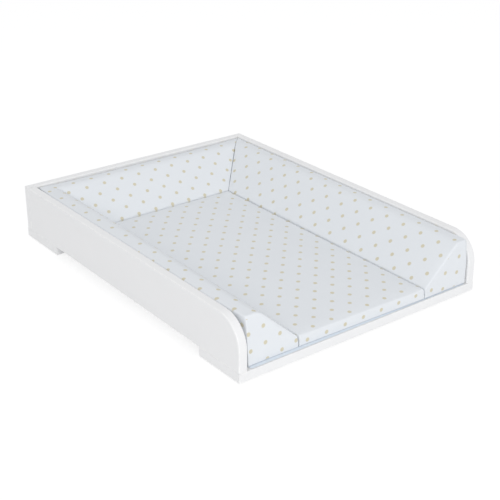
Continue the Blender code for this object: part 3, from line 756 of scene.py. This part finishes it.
def polka_dot_film(dots, grain, marks):
    """Wipe-clean film with a fine embossed grain, printed with pale dots."""
    finish = Finish("polka_dot_film", on_film=True, Specular_IOR_Level=0.3)
    tree = finish.tree
    dot = use_group(tree, dots, {"Film Place": finish.place, "Pitch Across": DOT_PITCH_ACROSS,
                                 "Pitch Along": DOT_PITCH_ALONG, "Dot Radius": DOT_RADIUS,
                                 "Print Blur": PRINT_BLUR})["Dot"]
    pebbles = use_group(tree, grain, {"Place": finish.place, "Grain Size": 0.0009, "Unevenness": 0.5})
    wiped = use_group(tree, marks, {"Place": finish.place, "Patch Size": 0.09})
    ground = blend_colours(tree, wiped["Patches"], *FILM_GROUND)
    ink = blend_colours(tree, pebbles["Tone"], *FILM_INK)
    finish.colour(blend_colours(tree, dot, ground, ink))
    rough = between(tree, wiped["Smears"], low=0.56, high=0.66)
    smoother_ink = calc(tree, "MULTIPLY", dot, 0.06)
    finish.roughness(calc(tree, "SUBTRACT", rough, smoother_ink))
    slack = noise_of(tree, finish.place, size=0.05, detail=3.0)
    waves = finish.bump(slack, distance=0.0012, strength=0.5)
    raised_ink = calc(tree, "MULTIPLY", dot, 0.3)
    finish.bump(calc(tree, "ADD", pebbles["Height"], raised_ink), distance=0.00008, strength=0.6, under=waves)
    return finish.material


def white_lacquer(name, node, highlight_strip, marks):
    """Satin white lacquer on board, with a faint orange-peel surface and a painted highlight along its edges,
    which are also a little glossier.
    """
    low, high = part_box(node)
    finish = Finish(name, Coat_Weight=0.12, Coat_Roughness=0.3, Specular_IOR_Level=0.4)
    tree = finish.tree
    highlit_edge = use_group(tree, highlight_strip, {"Place": finish.place, "Low Corner": low, "High Corner": high,
                                  "Reach": 0.004})
    wiped = use_group(tree, marks, {"Place": finish.place, "Patch Size": 0.16})
    body = blend_colours(tree, wiped["Patches"], *LACQUER)
    # painted highlight: the strip along each edge is blended to a lighter lacquer tone
    finish.colour(blend_colours(tree, highlit_edge["Edge Highlight"], body, EDGE_HIGHLIGHT_LACQUER))
    rough = between(tree, wiped["Smears"], low=0.40, high=0.48)
    polished = calc(tree, "MULTIPLY", highlit_edge["Edge Highlight"], 0.10)
    finish.roughness(calc(tree, "SUBTRACT", rough, polished))
    rolled = finish.bump(noise_of(tree, finish.place, size=0.03), distance=0.0006, strength=0.25)
    finish.bump(noise_of(tree, finish.place, size=0.0022), distance=0.00006, strength=0.35, under=rolled)
    return finish.material


def zinc_steel(marks):
    """Zinc-plated steel with the rings that turning leaves."""
    finish = Finish("zinc_steel", Metallic=1.0)
    tree = finish.tree
    wiped = use_group(tree, marks, {"Place": finish.place, "Patch Size": 0.006})
    finish.colour(blend_colours(tree, wiped["Patches"], *ZINC))
    finish.roughness(between(tree, wiped["Smears"], low=0.28, high=0.45))
    turned = add_node(tree, "ShaderNodeTexWave", {"Vector": finish.place, "Scale": 900.0, "Distortion": 1.0},
                      bands_direction="Z")
    finish.bump(turned.outputs["Fac"], distance=0.00003, strength=0.4)
    return finish.material


def moulded_cap(grain, marks):
    finish = Finish("moulded_cap")
    tree = finish.tree
    pebbles = use_group(tree, grain, {"Place": finish.place, "Grain Size": 0.0004, "Unevenness": 0.3})
    wiped = use_group(tree, marks, {"Place": finish.place, "Patch Size": 0.01})
    finish.colour(blend_colours(tree, wiped["Patches"], *CAP_PLASTIC))
    finish.roughness(between(tree, pebbles["Tone"], low=0.38, high=0.50))
    finish.bump(pebbles["Height"], distance=0.00003, strength=0.5)
    return finish.material


def beech_dowel():
    """Beech with its grain along Z."""
    finish = Finish("beech_dowel")
    tree = finish.tree
    along = calc_vector(tree, "MULTIPLY", finish.place, (900.0, 900.0, 90.0))
    fibres = noise_of(tree, along, size=1.0, detail=4.0)
    flecks = calc(tree, "MULTIPLY", step_at(tree, fibres, start=0.56, end=0.66), 0.4)
    finish.colour(blend_colours(tree, flecks, blend_colours(tree, fibres, *BEECH), BEECH_FLECK))
    finish.roughness(between(tree, fibres, low=0.62, high=0.80))
    finish.bump(fibres, distance=0.0001, strength=0.5)
    return finish.material


def grip_rubber(grain, marks):
    finish = Finish("grip_rubber")
    tree = finish.tree
    pebbles = use_group(tree, grain, {"Place": finish.place, "Grain Size": 0.0012, "Unevenness": 0.6})
    wiped = use_group(tree, marks, {"Place": finish.place, "Patch Size": 0.03})
    finish.colour(blend_colours(tree, wiped["Smears"], *RUBBER))
    finish.roughness(between(tree, pebbles["Tone"], low=0.75, high=0.95))
    finish.bump(pebbles["Height"], distance=0.0002, strength=0.6)
    return finish.material


def backing_film(grain, marks):
    finish = Finish("backing_film")
    tree = finish.tree
    pebbles = use_group(tree, grain, {"Place": finish.place, "Grain Size": 0.0014, "Unevenness": 0.5})
    wiped = use_group(tree, marks, {"Place": finish.place, "Patch Size": 0.12})
    finish.colour(blend_colours(tree, wiped["Patches"], *BACKING_BLUE))
    finish.roughness(between(tree, wiped["Smears"], low=0.45, high=0.58))
    finish.bump(pebbles["Height"], distance=0.0001, strength=0.5)
    return finish.material


def open_cell_foam(grain):
    finish = Finish("open_cell_foam")
    tree = finish.tree
    cells = use_group(tree, grain, {"Place": finish.place, "Grain Size": 0.0018, "Unevenness": 0.8})
    # painted shade: the foam is darker where its grain lies low, in the pores between its cells
    pore_shading = step_at(tree, cells["Height"], start=0.55, end=1.0)
    finish.colour(blend_colours(tree, pore_shading, *FOAM_YELLOW))
    finish.roughness(between(tree, cells["Tone"], low=0.88, high=1.0))
    finish.bump(cells["Height"], distance=0.0008, strength=0.8)
    return finish.material


def dress_tray(grain, marks):
    """Gives the rigid pieces their finishes; a screw's cap has both words in its name, so cap comes first."""
    highlight_strip = edge_highlight_group()
    finishes = {
        "cap": moulded_cap(grain, marks),
        "screw": zinc_steel(marks),
        "dowel": beech_dowel(),
        "grip": grip_rubber(grain, marks),
    }
    for name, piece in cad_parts.items():
        kinds = [kind for kind in finishes if kind in name]
        if name in BOARDS:
            material = white_lacquer(f"{name}_lacquer", name, highlight_strip, marks)
        elif kinds:
            material = finishes[kinds[0]]
        else:
            continue
        for material_slot in piece.material_slots:
            material_slot.material = material


# Studio

def seen_and_lit(tree, seen, lit):
    """One shader where the camera, or a mirror-like or clear surface, looks straight at it, or else another."""
    rays = tree.nodes.new("ShaderNodeLightPath").outputs
    either = calc(tree, "MAXIMUM", rays["Is Camera Ray"], rays["Is Glossy Ray"])
    any_of_three = calc(tree, "MAXIMUM", either, rays["Is Transmission Ray"])
    return add_node(tree, "ShaderNodeMixShader", {0: any_of_three, 1: lit, 2: seen}).outputs[0]


def build_floor():
    """The studio floor: white to the eye, lighting the object like a pale matt one, clear from below."""
    bm = bmesh.new()
    bmesh.ops.create_grid(bm, x_segments=8, y_segments=8, size=FLOOR_REACH)
    material = bpy.data.materials.new("studio_floor")
    material.use_nodes = True
    tree = material.node_tree
    lit = tree.nodes["Principled BSDF"]
    lit.inputs["Base Color"].default_value = FLOOR_GREY
    lit.inputs["Roughness"].default_value = 0.9
    lit.inputs["Specular IOR Level"].default_value = 0.0
    shadowed = add_node(tree, "ShaderNodeBsdfDiffuse", {"Color": SEEN_FLOOR_GREY}).outputs[0]
    glow = add_node(tree, "ShaderNodeEmission", {"Color": WHITE, "Strength": FLOOR_GLOW}).outputs[0]
    seen = add_node(tree, "ShaderNodeAddShader", {0: shadowed, 1: glow}).outputs[0]
    shown = seen_and_lit(tree, seen, lit.outputs[0])
    below = tree.nodes.new("ShaderNodeNewGeometry").outputs["Backfacing"]
    clear = tree.nodes.new("ShaderNodeBsdfTransparent").outputs[0]
    one_sided = add_node(tree, "ShaderNodeMixShader", {0: below, 1: shown, 2: clear}).outputs[0]
    put(tree, one_sided, tree.nodes["Material Output"].inputs["Surface"])
    floor = new_object("studio_floor", bm, material)
    floor.location.z = -FLOOR_GAP


def build_world():
    world = bpy.data.worlds.new("studio")
    bpy.context.scene.world = world
    world.use_nodes = True
    tree = world.node_tree
    lit = tree.nodes["Background"]
    lit.inputs["Color"].default_value = SKY
    lit.inputs["Strength"].default_value = SKY_STRENGTH
    seen = add_node(tree, "ShaderNodeBackground", {"Color": WHITE, "Strength": 1.0})
    shown = seen_and_lit(tree, seen.outputs[0], lit.outputs[0])
    put(tree, shown, tree.nodes["World Output"].inputs["Surface"])


def build_lights():
    for name, (place, (width, height), power) in SOFTBOXES.items():
        light = bpy.data.lights.new(name, "AREA")
        light.shape = "RECTANGLE"
        light.size, light.size_y = width, height
        light.energy = power
        softbox = bpy.data.objects.new(name, light)
        softbox.location = place
        softbox.rotation_euler = (Vector(LIT_SPOT) - Vector(place)).to_track_quat("-Z", "Y").to_euler()
        bpy.context.scene.collection.objects.link(softbox)


def build_camera():
    """The photograph's viewpoint."""
    azimuth, elevation = math.radians(CAMERA_AZIMUTH), math.radians(CAMERA_ELEVATION)
    roll = math.radians(CAMERA_ROLL)
    back = Vector((math.sin(azimuth) * math.cos(elevation), -math.cos(azimuth) * math.cos(elevation),
                   math.sin(elevation)))
    level_right = Vector((0, 0, 1)).cross(back).normalized()
    level_up = back.cross(level_right)
    right = level_right * math.cos(roll) + level_up * math.sin(roll)
    up = level_up * math.cos(roll) - level_right * math.sin(roll)
    data = bpy.data.cameras.new("camera")
    data.lens = FOCAL_LENGTH_MM
    data.sensor_width = SENSOR_WIDTH_MM
    data.clip_start, data.clip_end = CLIP_START, CLIP_END
    camera = bpy.data.objects.new("camera", data)
    camera.rotation_euler = Matrix((right, up, back)).transposed().to_euler()
    right_share, up_share, back_share = CAMERA_PLACE_SHARES
    aside = (right * right_share + up * up_share + back * back_share) * OVERALL_WIDTH
    camera.location = aside + Vector((0, 0, FOOT_HEIGHT))
    bpy.context.scene.collection.objects.link(camera)
    bpy.context.scene.camera = camera


def main():
    bpy.context.scene.view_settings.view_transform = "Standard"
    build_camera()
    build_world()
    build_lights()
    build_floor()
    grain, marks = fine_grain_group(), handling_marks_group()
    dress_tray(grain, marks)
    film, foam = polka_dot_film(polka_dots_group(), grain, marks), open_cell_foam(grain)
    build_backing(backing_film(grain, marks))
    build_pad(film, foam)
    build_right_bolster(film, foam)
    build_left_bolster(film, foam)
    build_rear_bolster(film, foam)


main()
